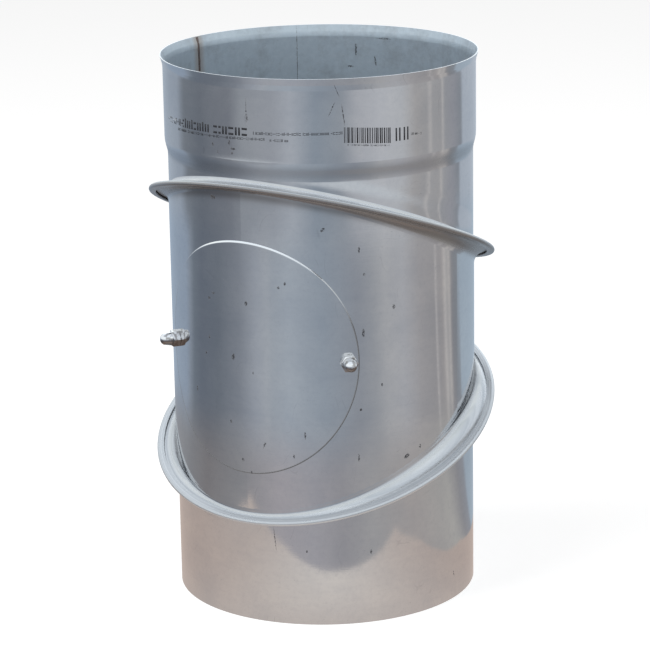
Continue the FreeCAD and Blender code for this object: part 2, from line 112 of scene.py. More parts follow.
class Tree:
    """Writes a node tree as nested expressions."""

    def __init__(self, tree):
        self.tree = tree
        tree.nodes.clear()

    def node(self, kind, **settings):
        made = self.tree.nodes.new(kind)
        for name, setting in settings.items():
            setattr(made, name, setting)
        return made

    def plug(self, socket, given):
        """A socket takes another node's output, or a plain number or colour."""
        if isinstance(given, bpy.types.NodeSocket):
            self.tree.links.new(given, socket)
        else:
            socket.default_value = given

    def maths(self, operation, *given, clamp=False):
        made = self.node("ShaderNodeMath", operation=operation, use_clamp=clamp)
        for socket, one in zip(made.inputs, given):
            self.plug(socket, one)
        return made.outputs[0]

    def vector(self, operation, *given):
        made = self.node("ShaderNodeVectorMath", operation=operation)
        for socket, one in zip(made.inputs, given):
            self.plug(socket, one)
        return made.outputs["Value" if operation in ("LENGTH", "DISTANCE", "DOT_PRODUCT") else 0]

    def scaled(self, vector, scale):
        return self.vector("MULTIPLY", vector, scale)

    def less(self, value, mask, share):
        """The value, smaller by a share of itself where the mask is 1."""
        left = self.maths("SUBTRACT", 1.0, self.maths("MULTIPLY", mask, share))
        return self.maths("MULTIPLY", value, left)

    def noise(self, vector, scale, detail=2.0, roughness=0.5, distortion=0.0):
        made = self.node("ShaderNodeTexNoise")
        self.plug(made.inputs["Vector"], vector)
        made.inputs["Scale"].default_value = scale
        made.inputs["Detail"].default_value = detail
        made.inputs["Roughness"].default_value = roughness
        made.inputs["Distortion"].default_value = distortion
        return made.outputs["Fac"]

    def remap(self, value, low, high, to_low=0.0, to_high=1.0, smooth=False):
        made = self.node("ShaderNodeMapRange", clamp=True)
        made.interpolation_type = "SMOOTHSTEP" if smooth else "LINEAR"
        for name, one in (("Value", value), ("From Min", low), ("From Max", high),
                          ("To Min", to_low), ("To Max", to_high)):
            self.plug(made.inputs[name], one)
        return made.outputs["Result"]

    def mix(self, share, first, second, blend="MIX"):
        """A colour between two colours."""
        made = self.node("ShaderNodeMix", data_type="RGBA", blend_type=blend)
        self.plug(made.inputs["Factor"], share)
        self.plug(made.inputs[6], first)
        self.plug(made.inputs[7], second)
        return made.outputs[2]

    def ramp(self, value, stops):
        made = self.node("ShaderNodeValToRGB")
        elements = made.color_ramp.elements
        elements[0].position, elements[0].color = stops[0][0], (*stops[0][1], 1)
        elements[1].position, elements[1].color = stops[-1][0], (*stops[-1][1], 1)
        for place, colour in stops[1:-1]:
            elements.new(place).color = (*colour, 1)
        self.plug(made.inputs["Fac"], value)
        return made.outputs["Color"]

    def joined(self, x, y, z):
        made = self.node("ShaderNodeCombineXYZ")
        for socket, one in zip(made.inputs, (x, y, z)):
            self.plug(socket, one)
        return made.outputs[0]

    def split(self, vector):
        """A vector's x, y and z."""
        parts = self.node("ShaderNodeSeparateXYZ")
        self.plug(parts.inputs[0], vector)
        return tuple(parts.outputs)

    def point(self):
        """The point on the object."""
        return self.node("ShaderNodeTexCoord").outputs["Object"]

    def facing(self):
        """The way that the surface faces, in the object's own axes."""
        return self.node("ShaderNodeTexCoord").outputs["Normal"]


def camera_directions():
    """The view direction, and the image's right and up, in the row frame."""
    turn = math.radians(VIEW_AZIMUTH - CAMERA_PAN)
    dip = math.radians(CAMERA_DIP)
    roll = math.radians(CAMERA_ROLL)
    ahead = math.cos(dip)
    forward = Vector((-math.sin(turn) * ahead, math.cos(turn) * ahead, -math.sin(dip)))
    level_right = forward.cross(Vector((0, 0, 1))).normalized()
    level_up = level_right.cross(forward)
    right = level_right * math.cos(roll) + level_up * math.sin(roll)
    up = level_up * math.cos(roll) - level_right * math.sin(roll)
    return forward, right, up


def make_camera():
    data = bpy.data.cameras.new("camera")
    data.sensor_width = CAMERA_SENSOR
    data.lens = CAMERA_LENS
    data.clip_start = 0.05
    data.clip_end = 50.0
    camera = bpy.data.objects.new("camera", data)
    bpy.context.scene.collection.objects.link(camera)
    forward, right, up = camera_directions()
    turned = Matrix((right, up, -forward)).transposed().to_4x4()
    camera.matrix_world = Matrix.Translation(CAMERA_PLACE) @ turned
    bpy.context.scene.camera = camera


def mesh_object(name, vertices, faces, material=None, smooth=False):
    mesh = bpy.data.meshes.new(name)
    mesh.from_pydata([tuple(v) for v in vertices], [], faces)
    mesh.update()
    made = bpy.data.objects.new(name, mesh)
    bpy.context.scene.collection.objects.link(made)
    if material:
        mesh.materials.append(material)
    if smooth:
        mesh.polygons.foreach_set("use_smooth", [True] * len(mesh.polygons))
    return made


def stage_floor():
    """The pale floor: white to the eye, with the elbow's soft shadow."""
    material = bpy.data.materials.new("floor")
    material.use_nodes = True
    tree = Tree(material.node_tree)
    lit = tree.node("ShaderNodeBsdfDiffuse")
    lit.inputs["Color"].default_value = (0.80, 0.80, 0.80, 1)
    own = tree.node("ShaderNodeEmission")
    own.inputs["Color"].default_value = (1, 1, 1, 1)
    seen = tree.node("ShaderNodeLightPath").outputs["Is Camera Ray"]
    tree.plug(own.inputs["Strength"], tree.maths("MULTIPLY", seen, 0.56))
    both = tree.node("ShaderNodeAddShader")
    tree.plug(both.inputs[0], lit.outputs[0])
    tree.plug(both.inputs[1], own.outputs[0])
    tree.plug(tree.node("ShaderNodeOutputMaterial").inputs["Surface"], both.outputs[0])
    corners = [(x * FLOOR_HALF, y * FLOOR_HALF, 0) for x, y in ((-1, -1), (1, -1), (1, 1), (-1, 1))]
    floor = mesh_object("floor", corners, [(0, 1, 2, 3)], material)
    floor.location.z = -0.0002
    floor.visible_glossy = False


def only_in_reflections(*objects):
    """Studio cards: the steel shows them, the camera and the lamps don't."""
    for card in objects:
        card.visible_camera = False
        card.visible_diffuse = False
        card.visible_transmission = False
        card.visible_volume_scatter = False
        card.visible_shadow = False


def glowing(name):
    material = bpy.data.materials.new(name)
    material.use_nodes = True
    tree = Tree(material.node_tree)
    glow = tree.node("ShaderNodeEmission")
    tree.plug(tree.node("ShaderNodeOutputMaterial").inputs["Surface"], glow.outputs[0])
    return material, tree, glow


def ring_of_colour(tree, angle, stops):
    """Colours round the whole circle, given at angles in degrees from the view."""
    share = tree.maths("ADD", tree.maths("DIVIDE", angle, 2 * math.pi), 0.5)
    places = [(0.5 + degrees / 360.0, colour) for degrees, colour in stops]
    return tree.ramp(share, places)


# What the walls mirror, as a person would find it on walking round the elbow.
# The angle is counted from the camera's side, positive to the camera's right.
CLOSE_GROUND = [
    (-179, (0.36, 0.38, 0.42)),
    (-120, (0.34, 0.35, 0.37)),
    (-90, (0.28, 0.27, 0.28)),
    (-60, (0.36, 0.36, 0.375)),
    (-30, (0.50, 0.48, 0.51)),
    (-8, (0.48, 0.475, 0.51)),
    (10, (0.42, 0.415, 0.44)),
    (30, (0.49, 0.485, 0.49)),
    (60, (0.50, 0.47, 0.46)),
    (94, (0.53, 0.52, 0.50)),
    (108, (0.36, 0.36, 0.38)),
    (118, (0.36, 0.38, 0.42)),
    (122, (0.44, 0.52, 0.60)),
    (179, (0.41, 0.49, 0.58)),
]
NEAR_GROUND = [
    (-179, (0.40, 0.49, 0.60)),
    (-118, (0.38, 0.46, 0.57)),
    (-112, (0.33, 0.38, 0.45)),
    (-107, (0.22, 0.26, 0.31)),
    (-98, (0.19, 0.22, 0.27)),
    (-80, (0.205, 0.235, 0.28)),
    (-62, (0.30, 0.33, 0.38)),
    (-48, (0.46, 0.50, 0.56)),
    (-40, (0.52, 0.56, 0.61)),
    (-36, (0.48, 0.53, 0.59)),
    (-24, (0.50, 0.56, 0.63)),
    (0, (0.40, 0.46, 0.53)),
    (24, (0.37, 0.40, 0.45)),
    (36, (0.46, 0.48, 0.51)),
    (44, (0.55, 0.56, 0.58)),
    (58, (0.55, 0.56, 0.59)),
    (72, (0.48, 0.47, 0.48)),
    (87.6, (0.43, 0.42, 0.43)),
    (88.8, (0.70, 0.67, 0.66)),
    (90.2, (0.43, 0.42, 0.43)),
    (96, (0.47, 0.45, 0.45)),
    (98.5, (0.68, 0.65, 0.63)),
    (101.5, (0.50, 0.49, 0.49)),
    (104.5, (0.66, 0.63, 0.61)),
    (106.5, (0.35, 0.35, 0.37)),
    (111, (0.31, 0.33, 0.36)),
    (117.5, (0.33, 0.36, 0.40)),
    (119.5, (0.47, 0.56, 0.65)),
    (179, (0.42, 0.51, 0.61)),
]
FAR_GROUND = [
    (-179, (0.44, 0.51, 0.60)),
    (-126, (0.42, 0.48, 0.56)),
    (-116, (0.25, 0.28, 0.32)),
    (-96, (0.20, 0.225, 0.265)),
    (-68, (0.26, 0.28, 0.32)),
    (-58, (0.38, 0.41, 0.45)),
    (-34, (0.42, 0.45, 0.50)),
    (-21, (0.52, 0.56, 0.62)),
    (-4, (0.35, 0.41, 0.48)),
    (15, (0.40, 0.44, 0.49)),
    (26, (0.58, 0.60, 0.64)),
    (44, (0.66, 0.68, 0.72)),
    (60, (0.64, 0.66, 0.69)),
    (72, (0.51, 0.50, 0.50)),
    (82, (0.46, 0.46, 0.47)),
    (85.4, (0.66, 0.64, 0.63)),
    (87.0, (0.48, 0.48, 0.49)),
    (97.0, (0.46, 0.46, 0.47)),
    (98.6, (0.68, 0.66, 0.65)),
    (100.5, (0.44, 0.45, 0.47)),
    (112, (0.41, 0.42, 0.46)),
    (123, (0.33, 0.36, 0.40)),
    (126, (0.54, 0.60, 0.68)),
    (179, (0.50, 0.56, 0.64)),
]


def turn_from_front(tree, point):
    """The angle round the upright axis from -Y, positive towards +X."""
    x, y = tree.split(point)[:2]
    return tree.maths("ARCTAN2", x, tree.maths("MULTIPLY", y, -1.0))


def turned_to_view(made):
    """The studio cards are laid out from the camera's side of the elbow."""
    made.rotation_euler.z = math.radians(VIEW_AZIMUTH)
    return made


def stage_ground():
    """What lies round the elbow, in three rings and out to the horizon."""
    material, tree, glow = glowing("studio_ground")
    point = tree.point()
    angle = turn_from_front(tree, point)
    reach = tree.vector("LENGTH", tree.scaled(point, (1, 1, 0)))
    colour = ring_of_colour(tree, angle, CLOSE_GROUND)
    for limits, stops in ((CLOSE_TO_NEAR, NEAR_GROUND), (NEAR_TO_FAR, FAR_GROUND)):
        beyond = tree.remap(reach, *limits, smooth=True)
        colour = tree.mix(beyond, colour, ring_of_colour(tree, angle, stops))
    colour = tree.mix(tree.remap(reach, *FAR_TO_HORIZON, smooth=True), colour, (*HORIZON, 1))
    tree.plug(glow.inputs["Color"], colour)
    count = 64
    turns = [2 * math.pi * step / count for step in range(count)]
    rim = [(GROUND_RADIUS * math.cos(turn), GROUND_RADIUS * math.sin(turn), 0) for turn in turns]
    ground = mesh_object("studio_ground", rim, [tuple(range(count))], material)
    ground.location.z = -0.0006
    only_in_reflections(turned_to_view(ground))


def stage_board():
    """The warm wooden board on which the elbow stands."""
    material, tree, glow = glowing("studio_board")
    x, y = tree.split(tree.point())[:2]
    front = tree.remap(y, 0.05, -0.21, smooth=True)
    side = tree.remap(tree.maths("ABSOLUTE", x), 0.0, 0.20, 1.0, 0.35, smooth=True)
    share = tree.maths("MULTIPLY", front, side)
    tree.plug(glow.inputs["Color"], tree.mix(share, (0.60, 0.50, 0.45, 1), (0.83, 0.78, 0.74, 1)))
    outline = [(-0.262, -0.215, 0), (-0.10, -0.22, 0), (0.0, -0.198, 0), (0.185, -0.19, 0),
               (0.197, -0.11, 0), (0.172, -0.03, 0), (0.170, 0.02, 0), (0.12, 0.11, 0),
               (-0.10, 0.24, 0), (-0.262, 0.20, 0)]
    board = mesh_object("studio_board", outline, [tuple(range(len(outline)))], material)
    board.location.z = -0.0004
    only_in_reflections(turned_to_view(board))


def stage_sky():
    """The overcast sky, brightest high up behind the elbow's right side."""
    material, tree, glow = glowing("studio_sky")
    aim = tree.vector("NORMALIZE", tree.point())
    even = tree.ramp(tree.split(aim)[2], [
        (0.0, HORIZON),
        (0.20, (0.86, 0.93, 0.99)),
        (0.45, (0.95, 1.00, 1.00)),
        (0.70, (0.86, 0.93, 1.00)),
        (1.0, (0.82, 0.89, 0.96)),
    ])
    patch = tree.vector("DOT_PRODUCT", aim, tuple(Vector((0.15, 0.9, 0.55)).normalized()))
    bright = tree.remap(patch, 0.80, 0.98, 1.0, 1.5, smooth=True)
    tree.plug(glow.inputs["Color"], even)
    tree.plug(glow.inputs["Strength"], bright)
    mesh = bpy.data.meshes.new("studio_sky")
    form = bmesh.new()
    bmesh.ops.create_icosphere(form, subdivisions=5, radius=SKY_RADIUS)
    low = [v for v in form.verts if v.co.z < -0.3]
    bmesh.ops.delete(form, geom=low, context="VERTS")
    form.to_mesh(mesh)
    form.free()
    mesh.materials.append(material)
    dome = bpy.data.objects.new("studio_sky", mesh)
    bpy.context.scene.collection.objects.link(dome)
    only_in_reflections(turned_to_view(dome))


def make_lights():
    """Two large soft lamps and a pale world. The steel mirrors the cards instead of the lamps."""
    for name, place, size, power in (("key", (-0.9, -1.4, 2.0), 1.8, 30.0),
                                     ("fill", (1.6, 0.6, 1.8), 1.8, 14.0)):
        data = bpy.data.lights.new(name, "AREA")
        data.size = size
        data.energy = power
        lamp = bpy.data.objects.new(name, data)
        lamp.location = place
        aim = Vector((0, 0, 0.15)) - Vector(place)
        lamp.rotation_euler = aim.to_track_quat("-Z", "Y").to_euler()
        lamp.visible_glossy = False
        bpy.context.scene.collection.objects.link(lamp)
    world = bpy.data.worlds.new("world")
    bpy.context.scene.world = world
    world.use_nodes = True
    tree = Tree(world.node_tree)
    path = tree.node("ShaderNodeLightPath")
    seen = tree.maths("ADD", path.outputs["Is Camera Ray"], path.outputs["Is Glossy Ray"])
    seen = tree.maths("ADD", seen, path.outputs["Is Transmission Ray"], clamp=True)
    sky = tree.node("ShaderNodeBackground")
    sky.inputs["Color"].default_value = (1, 1, 1, 1)
    tree.plug(sky.inputs["Strength"], tree.remap(seen, 0.0, 1.0, 0.35, 1.0))
    tree.plug(tree.node("ShaderNodeOutputWorld").inputs["Surface"], sky.outputs[0])


def wall_angle(tree, point):
    """Degrees round the flue from the cover's side, positive towards +X."""
    return tree.maths("MULTIPLY", turn_from_front(tree, point), 180 / math.pi)


def flat_sheet(tree, x, y, z, seed):
    """Where a point of the wall lay on the flat sheet: along the roll, up the
    flue, and the sheet's own number. The sheet's two ends meet at the weld.
    """
    turn = math.radians(WELD_ANGLE)
    level = tree.joined(x, y, 0.0)
    ahead = tree.vector("DOT_PRODUCT", level, (-math.sin(turn), math.cos(turn), 0))
    beside = tree.vector("DOT_PRODUCT", level, (math.cos(turn), math.sin(turn), 0))
    along = tree.maths("MULTIPLY", tree.maths("ARCTAN2", beside, ahead), MIDDLE_RADIUS)
    return tree.joined(along, z, seed * 1.7)


def stretched(tree, sheet, along, up):
    return tree.scaled(sheet, (along, up, 1.0))


def inner_side(tree, x, y, wall):
    """1 on the faces that look at the flue's axis, 0 on those that look out."""
    outwards = tree.joined(x, y, 0.0)
    share = tree.vector("DOT_PRODUCT", tree.facing(), tree.vector("NORMALIZE", outwards))
    within = tree.remap(tree.vector("LENGTH", outwards), wall + 0.0040, wall + 0.0030)
    return tree.maths("MULTIPLY", tree.remap(share, 0.05, -0.25), within)


def spun_band(tree, point, x, y, wall, seams, reach_up):
    """1 on the flanges, lips and bends of a seam, with the radius round its axis.

    Their sheet was pressed over a turning roller, which leaves circular lines.
    """
    band, reach = 0.0, 0.0
    from_axis = tree.vector("LENGTH", tree.joined(x, y, 0.0))
    out = tree.remap(from_axis, wall + 0.00005, wall + 0.0008)
    for height, lean in seams:
        axis = Vector((0, -math.sin(lean), math.cos(lean)))
        from_seam = tree.vector("SUBTRACT", point, (0, 0, height))
        along = tree.vector("DOT_PRODUCT", from_seam, tuple(axis))
        near = tree.remap(tree.maths("ABSOLUTE", along), reach_up, reach_up * 0.45, smooth=True)
        share = tree.maths("MULTIPLY", near, out)
        away = tree.vector("LENGTH", tree.vector("CROSS_PRODUCT", from_seam, tuple(axis)))
        away = tree.maths("ADD", away, along)
        band = tree.maths("MAXIMUM", share, band)
        reach = tree.maths("ADD", tree.maths("MULTIPLY", away, share), reach)
    return band, reach


def above_upper_seam(tree, point):
    """How far a point lies above the upper seam's plane."""
    from_seam = tree.vector("SUBTRACT", point, (0, 0, UPPER_SEAM))
    return tree.vector("DOT_PRODUCT", from_seam, (0, math.sin(SEAM_LEAN), math.cos(SEAM_LEAN)))


def shade_under_upper_seam(tree, point):
    """Painted shade: 1 on the underside of the upper seam, fading out over the wall below it."""
    above = above_upper_seam(tree, point)
    fade = tree.remap(above, -0.0115, -0.0045, smooth=True)
    below = tree.remap(above, 0.0, -0.0006)
    # Painted shade: full on the faces that look down, three quarters on the wall just below the
    # seam.
    down = tree.remap(tree.split(tree.facing())[2], 0.10, -0.30)
    painted_shade = tree.maths("MAXIMUM", down, tree.maths("MULTIPLY", fade, 0.75))
    return tree.maths("MULTIPLY", tree.maths("MULTIPLY", painted_shade, below), fade)


def spot(tree, angle, z, ragged, spot_angle, spot_z, width, height, lean=0.0):
    """One ragged mark on the wall: 1 at its middle, 0 outside."""
    degree = math.radians(1) * MIDDLE_RADIUS
    across = tree.maths("MULTIPLY", tree.maths("SUBTRACT", angle, spot_angle), degree)
    across = tree.maths("ADD", across, ragged)
    along = tree.maths("SUBTRACT", tree.maths("SUBTRACT", z, spot_z), ragged)
    if lean:
        shift = tree.maths("MULTIPLY", along, math.tan(math.radians(lean)))
        across = tree.maths("SUBTRACT", across, shift)
    across = tree.maths("DIVIDE", across, width * 0.62)
    along = tree.maths("DIVIDE", along, height * 0.60)
    away = tree.maths("MULTIPLY", across, across)
    away = tree.maths("ADD", away, tree.maths("MULTIPLY", along, along))
    return tree.remap(away, 0.35, 1.1, 1.0, 0.0, smooth=True)


def any_of(tree, masks):
    most = masks[0]
    for mask in masks[1:]:
        most = tree.maths("MAXIMUM", most, mask)
    return most


def hairlines(tree, sheet, scale, shift, width):
    """Thin wandering scratches: the places where a smooth noise passes its middle."""
    field = tree.noise(tree.vector("ADD", sheet, (shift, -shift, 0)), scale, 1.0, 0.4, 0.3)
    away = tree.maths("ABSOLUTE", tree.maths("SUBTRACT", field, 0.5))
    line = tree.remap(away, 0.0, width, 1.0, 0.0)
    where = tree.noise(tree.vector("ADD", sheet, (-shift, shift, 0)), scale * 1.9, 2.0)
    return tree.maths("MULTIPLY", line, tree.remap(where, 0.56, 0.66))


def total(tree, *shares):
    """The sum of pairs of a pattern and its height."""
    height = 0.0
    for pattern, rise in shares:
        height = tree.maths("ADD", tree.maths("MULTIPLY", pattern, rise), height)
    return height


def rim_highlight_and_shadow(tree, angle, z):
    """The cover's rim: a painted highlight on its top, and a painted shadow along its sides and
    lower edge.
    """
    across = tree.maths("MULTIPLY", angle, math.radians(1) * COVER_FACE)
    up = tree.maths("SUBTRACT", z, COVER_HEIGHT)
    away = tree.vector("LENGTH", tree.joined(across, up, 0.0))
    edge = tree.remap(away, COVER_BLANK - 0.0013, COVER_BLANK - 0.0005)
    rise = tree.maths("DIVIDE", up, away)
    bent = tree.remap(away, COVER_BLANK - 0.0016, COVER_BLANK - 0.0008)
    # Painted highlight where the rim faces up; painted shadow where it faces sideways or down.
    bright = tree.maths("MULTIPLY", bent, tree.remap(rise, 0.74, 0.95))
    painted_rim_shadow = tree.maths("MULTIPLY", edge, tree.remap(rise, 0.52, 0.30))
    return bright, painted_rim_shadow


def plain_material(name):
    material = bpy.data.materials.new(name)
    material.use_nodes = True
    tree = Tree(material.node_tree)
    surface = tree.node("ShaderNodeBsdfPrincipled")
    tree.plug(tree.node("ShaderNodeOutputMaterial").inputs["Surface"], surface.outputs[0])
    return material, tree, surface


def add_bump(tree, surface, height):
    bump = tree.node("ShaderNodeBump")
    bump.inputs["Strength"].default_value = 1.0
    bump.inputs["Distance"].default_value = 1.0
    tree.plug(bump.inputs["Height"], height)
    tree.plug(surface.inputs["Normal"], bump.outputs[0])


class Finish:
    """What a sheet looks like so far, while its colour, roughness, share of metal
    and height build up.
    """

    def __init__(self, colour, rough, metal, height):
        self.colour = colour
        self.rough = rough
        self.metal = metal
        self.height = height


def outside_colour(tree, patches, bands, mottle):
    """Cool grey in soft patches, with lighter bands along the roll."""
    colour = tree.mix(tree.remap(patches, 0.35, 0.68),
                      (0.575, 0.585, 0.605, 1), (0.655, 0.655, 0.66, 1))
    colour = tree.mix(tree.remap(bands, 0.35, 0.65, 0.0, 0.16), colour, (0.70, 0.69, 0.685, 1))
    return tree.mix(tree.remap(mottle, 0.45, 0.75, 0.0, 0.26), colour, (0.50, 0.51, 0.54, 1))


def inside_colour(tree, sheet, mottle):
    """Bluish and dull, with smudges."""
    smudges = tree.remap(tree.noise(sheet, 48.0, 6.0, 0.75), 0.46, 0.68)
    colour = tree.mix(smudges, (0.55, 0.625, 0.69, 1), (0.44, 0.49, 0.535, 1))
    return tree.mix(tree.remap(mottle, 0.42, 0.70, 0.0, 0.5), colour, (0.66, 0.73, 0.79, 1))


def rolled_finish(tree, sheet, inside):
    """Bright rolled sheet: nearly mirror-like, with the rolling's fine lines round
    the flue, slight waves, dull patches, scratches and specks.
    """
    lines = tree.noise(stretched(tree, sheet, 0.03, 1.0), 1900.0, 2.0, 0.6)
    bands = tree.noise(stretched(tree, sheet, 0.07, 1.0), 260.0, 3.0, 0.6)
    patches = tree.noise(sheet, 26.0, 4.0, 0.6, 0.6)
    mottle = tree.noise(sheet, 260.0, 4.0, 0.65)
    scratches = tree.maths("MAXIMUM", hairlines(tree, sheet, 34.0, 3.1, 0.0035),
                           hairlines(tree, stretched(tree, sheet, 1.0, 0.45), 52.0, 7.7, 0.004))
    specks = tree.remap(tree.noise(sheet, 520.0, 3.0, 0.7), 0.67, 0.73)
    specks = tree.maths("MULTIPLY", specks, tree.remap(tree.noise(sheet, 30.0, 2.0), 0.50, 0.64))

    colour = tree.mix(inside, outside_colour(tree, patches, bands, mottle),
                      inside_colour(tree, sheet, mottle))
    colour = tree.mix(tree.maths("MULTIPLY", scratches, 0.30), colour, (0.36, 0.36, 0.38, 1))
    colour = tree.mix(tree.maths("MULTIPLY", specks, 0.60), colour, (0.10, 0.10, 0.115, 1))
    rough = tree.remap(patches, 0.3, 0.72, 0.065, 0.110)
    rough = tree.maths("ADD", rough, tree.remap(mottle, 0.4, 0.75, -0.012, 0.030))
    rough = tree.maths("ADD", rough, tree.maths("MULTIPLY", inside, 0.30))
    metal = tree.less(tree.less(1.0, specks, 0.6), inside, 0.35)

    waves = tree.noise(stretched(tree, sheet, 1.0, 0.10), 24.0, 1.0, 0.4)
    dents = tree.noise(stretched(tree, sheet, 1.0, 0.7), 14.0, 1.0, 0.4)
    height = total(tree, (waves, 0.00014), (dents, 0.00020), (bands, 0.000006), (lines, 0.0000065),
                   (mottle, 0.0000030), (scratches, -0.000004))
    return Finish(colour, rough, metal, height)


def add_marks(tree, finish, sheet, angle, z, marks):
    """Dark ragged marks, rubbed through in places."""
    ragged = tree.maths("SUBTRACT", tree.noise(sheet, 900.0, 3.0, 0.7), 0.5)
    ragged = tree.maths("MULTIPLY", ragged, 0.0016)
    dots = any_of(tree, [spot(tree, angle, z, ragged, *mark) for mark in marks])
    rubbed = tree.remap(tree.noise(sheet, 1300.0, 2.0, 0.6), 0.40, 0.52)
    dots = tree.maths("MULTIPLY", dots, rubbed)
    finish.colour = tree.mix(dots, finish.colour, (0.035, 0.035, 0.045, 1))
    finish.metal = tree.less(finish.metal, dots, 0.8)


def add_seam_rings(tree, finish, point, spun, reach, seed):
    """The seams' circular lines, their paler tone, and the painted shade below the upper one."""
    rings = tree.noise(tree.joined(reach, seed, 0.0), 760.0, 2.0, 0.6)
    grooves = tree.noise(tree.joined(reach, seed + 4.0, 0.0), 300.0, 2.0, 0.5)
    finish.rough = tree.maths("ADD", finish.rough, tree.maths("MULTIPLY", spun, 0.20))
    finish.metal = tree.less(finish.metal, spun, 0.22)
    tone = tree.mix(tree.remap(rings, 0.36, 0.64), (0.50, 0.53, 0.56, 1), (0.80, 0.815, 0.83, 1))
    colour = tree.mix(tree.maths("MULTIPLY", spun, 0.8), finish.colour, tone)
    # Painted shade under the upper seam: the colour goes towards dark brown.
    painted_shade = tree.maths("MULTIPLY", shade_under_upper_seam(tree, point), 0.88)
    finish.colour = tree.mix(painted_shade, colour, (0.20, 0.175, 0.16, 1))
    pressed = total(tree, (rings, 0.0000060), (grooves, 0.000016))
    finish.height = tree.maths("ADD", finish.height, tree.maths("MULTIPLY", pressed, spun))


def add_rim_highlight_and_shadow(tree, finish, angle, z):
    # Painted highlight: near-white on the rim's top. Painted shadow: near-black on its sides and
    # lower edge, less metal and rougher there.
    bright, painted_rim_shadow = rim_highlight_and_shadow(tree, angle, z)
    rim_shadow_share = tree.maths("MULTIPLY", painted_rim_shadow, 0.86)
    colour = tree.mix(bright, finish.colour, (0.95, 0.955, 0.96, 1))
    finish.colour = tree.mix(rim_shadow_share, colour, (0.07, 0.07, 0.075, 1))
    finish.metal = tree.less(finish.metal, painted_rim_shadow, 0.86)
    finish.rough = tree.maths("ADD", finish.rough, tree.maths("MULTIPLY", rim_shadow_share, 0.3))


def add_neck_dark_band(tree, finish, point, z):
    """The neck's rolled line, rougher and darkened as a painted dark reflection, and the wall's
    slight spread towards the upper seam.
    """
    from_middle = tree.maths("ABSOLUTE", tree.maths("SUBTRACT", z, NECK_MIDDLE))
    rolled = tree.remap(from_middle, 0.0068, 0.0010, smooth=True)
    spread = tree.remap(above_upper_seam(tree, point), 0.020, 0.004, 0.0, 0.0008, smooth=True)
    finish.height = tree.maths("ADD", finish.height, spread)
    # Painted dark reflection: a dark band in the colour round the neck; the added roughness is the
    # rolled line's own.
    painted_dark_reflection = tree.maths("MULTIPLY", rolled, 0.55)
    finish.colour = tree.mix(painted_dark_reflection, finish.colour, (0.30, 0.30, 0.31, 1))
    finish.rough = tree.maths("ADD", finish.rough, tree.maths("MULTIPLY", rolled, 0.16))


def add_weld_tint(tree, finish, angle):
    """The brown tint that the weld's heat left beside it."""
    from_weld = tree.maths("ABSOLUTE", tree.maths("SUBTRACT", angle, WELD_ANGLE))
    tint = tree.remap(from_weld, 1.0, 4.0, 0.50, 0.0, smooth=True)
    finish.colour = tree.mix(tint, finish.colour, (0.40, 0.31, 0.24, 1))


def sheet_steel(name, seed, marks, wall=MIDDLE_RADIUS, seams=(), bend_reach=0.006, neck=False,
                cover=False):
    """The elbow's stainless sheet. Each segment and the cover has its own marks and wear."""
    material, tree, steel = plain_material(name)
    point = tree.point()
    x, y, z = tree.split(point)
    angle = wall_angle(tree, point)
    sheet = flat_sheet(tree, x, y, z, seed)
    finish = rolled_finish(tree, sheet, inner_side(tree, x, y, wall))
    add_marks(tree, finish, sheet, angle, z, marks)
    if seams:
        spun, reach = spun_band(tree, point, x, y, wall, seams, bend_reach)
        add_seam_rings(tree, finish, point, spun, reach, seed)
    if cover:
        add_rim_highlight_and_shadow(tree, finish, angle, z)
    if neck:
        add_neck_dark_band(tree, finish, point, z)
    add_bump(tree, steel, finish.height)
    add_weld_tint(tree, finish, angle)
    tree.plug(steel.inputs["Base Color"], finish.colour)
    tree.plug(steel.inputs["Roughness"], finish.rough)
    tree.plug(steel.inputs["Metallic"], finish.metal)
    return material


def polished_steel():
    """The cap nuts: polished steel with fine wear, a little brown dust, and painted shade on the
    faces that look down.
    """
    material, tree, steel = plain_material("polished_steel")
    point = tree.point()
    wear = tree.noise(point, 900.0, 4.0, 0.7)
    dust = tree.remap(tree.noise(point, 380.0, 1.0, 0.5), 0.50, 0.62)
    colour = tree.mix(tree.remap(wear, 0.4, 0.7, 0.0, 0.25),
                      (0.92, 0.92, 0.93, 1), (0.50, 0.50, 0.52, 1))
    colour = tree.mix(tree.maths("MULTIPLY", dust, 0.62), colour, (0.12, 0.10, 0.09, 1))
    # Painted shade: the faces that look down are darkened towards brown-black.
    under = tree.remap(tree.split(tree.facing())[2], 0.22, -0.12, 0.0, 0.88)
    colour = tree.mix(under, colour, (0.13, 0.10, 0.085, 1))
    tree.plug(steel.inputs["Base Color"], colour)
    tree.plug(steel.inputs["Roughness"], tree.remap(wear, 0.35, 0.7, 0.04, 0.11))
    steel.inputs["Metallic"].default_value = 1.0
    add_bump(tree, steel, tree.maths("MULTIPLY", wear, 0.000006))
    return material


def turned_steel():
    """The studs: plain turned steel with fine rings and a few brown stains."""
    material, tree, steel = plain_material("turned_steel")
    point = tree.point()
    grain = tree.noise(point, 1400.0, 3.0, 0.6)
    stains = tree.remap(tree.noise(point, 260.0, 3.0, 0.6), 0.50, 0.68)
    colour = tree.mix(tree.remap(grain, 0.4, 0.7, 0.0, 0.4),
                      (0.58, 0.58, 0.60, 1), (0.44, 0.44, 0.46, 1))
    colour = tree.mix(tree.maths("MULTIPLY", stains, 0.35), colour, (0.27, 0.20, 0.15, 1))
    tree.plug(steel.inputs["Base Color"], colour)
    tree.plug(steel.inputs["Roughness"], tree.remap(grain, 0.35, 0.7, 0.24, 0.40))
    steel.inputs["Metallic"].default_value = 1.0
    add_bump(tree, steel, tree.maths("MULTIPLY", grain, 0.000008))
    return material


